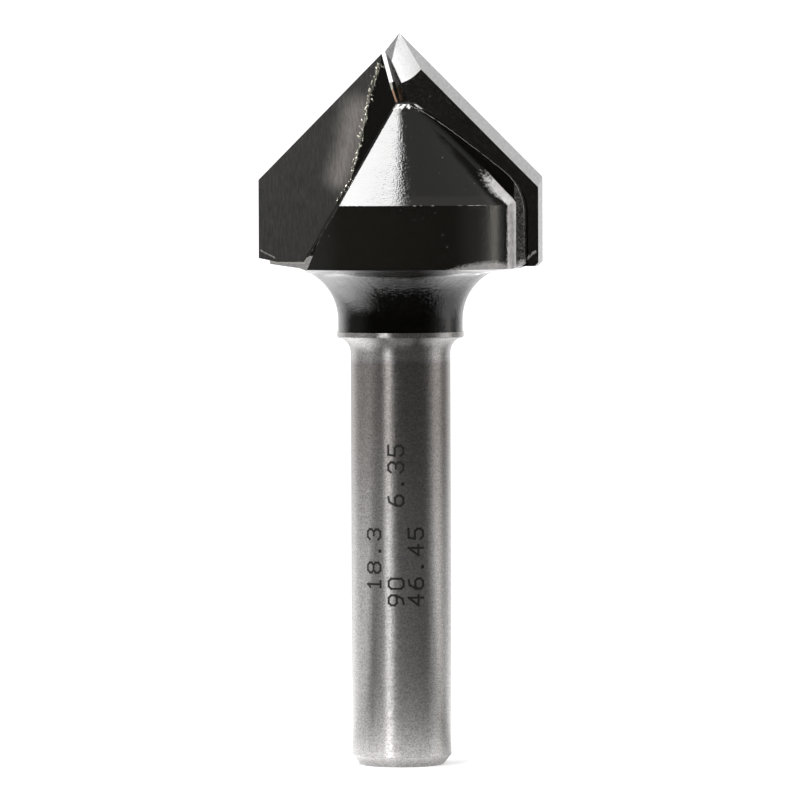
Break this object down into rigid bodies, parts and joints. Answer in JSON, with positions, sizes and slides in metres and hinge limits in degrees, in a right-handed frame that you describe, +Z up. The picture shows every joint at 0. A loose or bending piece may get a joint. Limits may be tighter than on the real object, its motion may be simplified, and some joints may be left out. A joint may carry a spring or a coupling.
{
  "type": "v groove router bit",
  "caption": "Two-flute V groove router bit with brazed carbide tips, a sharp point that crosses the axis and a plain quarter-inch shank.",
  "frame": {"origin": "centre of the shank's end face", "axes": "+Z up the axis of rotation to the point, the cutting edges in the XZ plane, the point tip's wing towards +X with its rake face looking to +Y"},
  "size_m": [0.0182, 0.0152, 0.0465],
  "materials": {
    "body_steel": "satin ground shank and collar, glossy black paint on the neck and head",
    "carbide": "ground tungsten carbide, dark brushed rake face and bright ground edges, back painted black",
    "braze": "silver braze with a copper tint, rough where it wells out of the seams"
  },
  "bodies": {
    "root": {"body": "body_steel", "point_tip": "carbide", "side_tip": "carbide", "point_braze": "braze", "side_braze": "braze"}
  },
  "joints": []
}
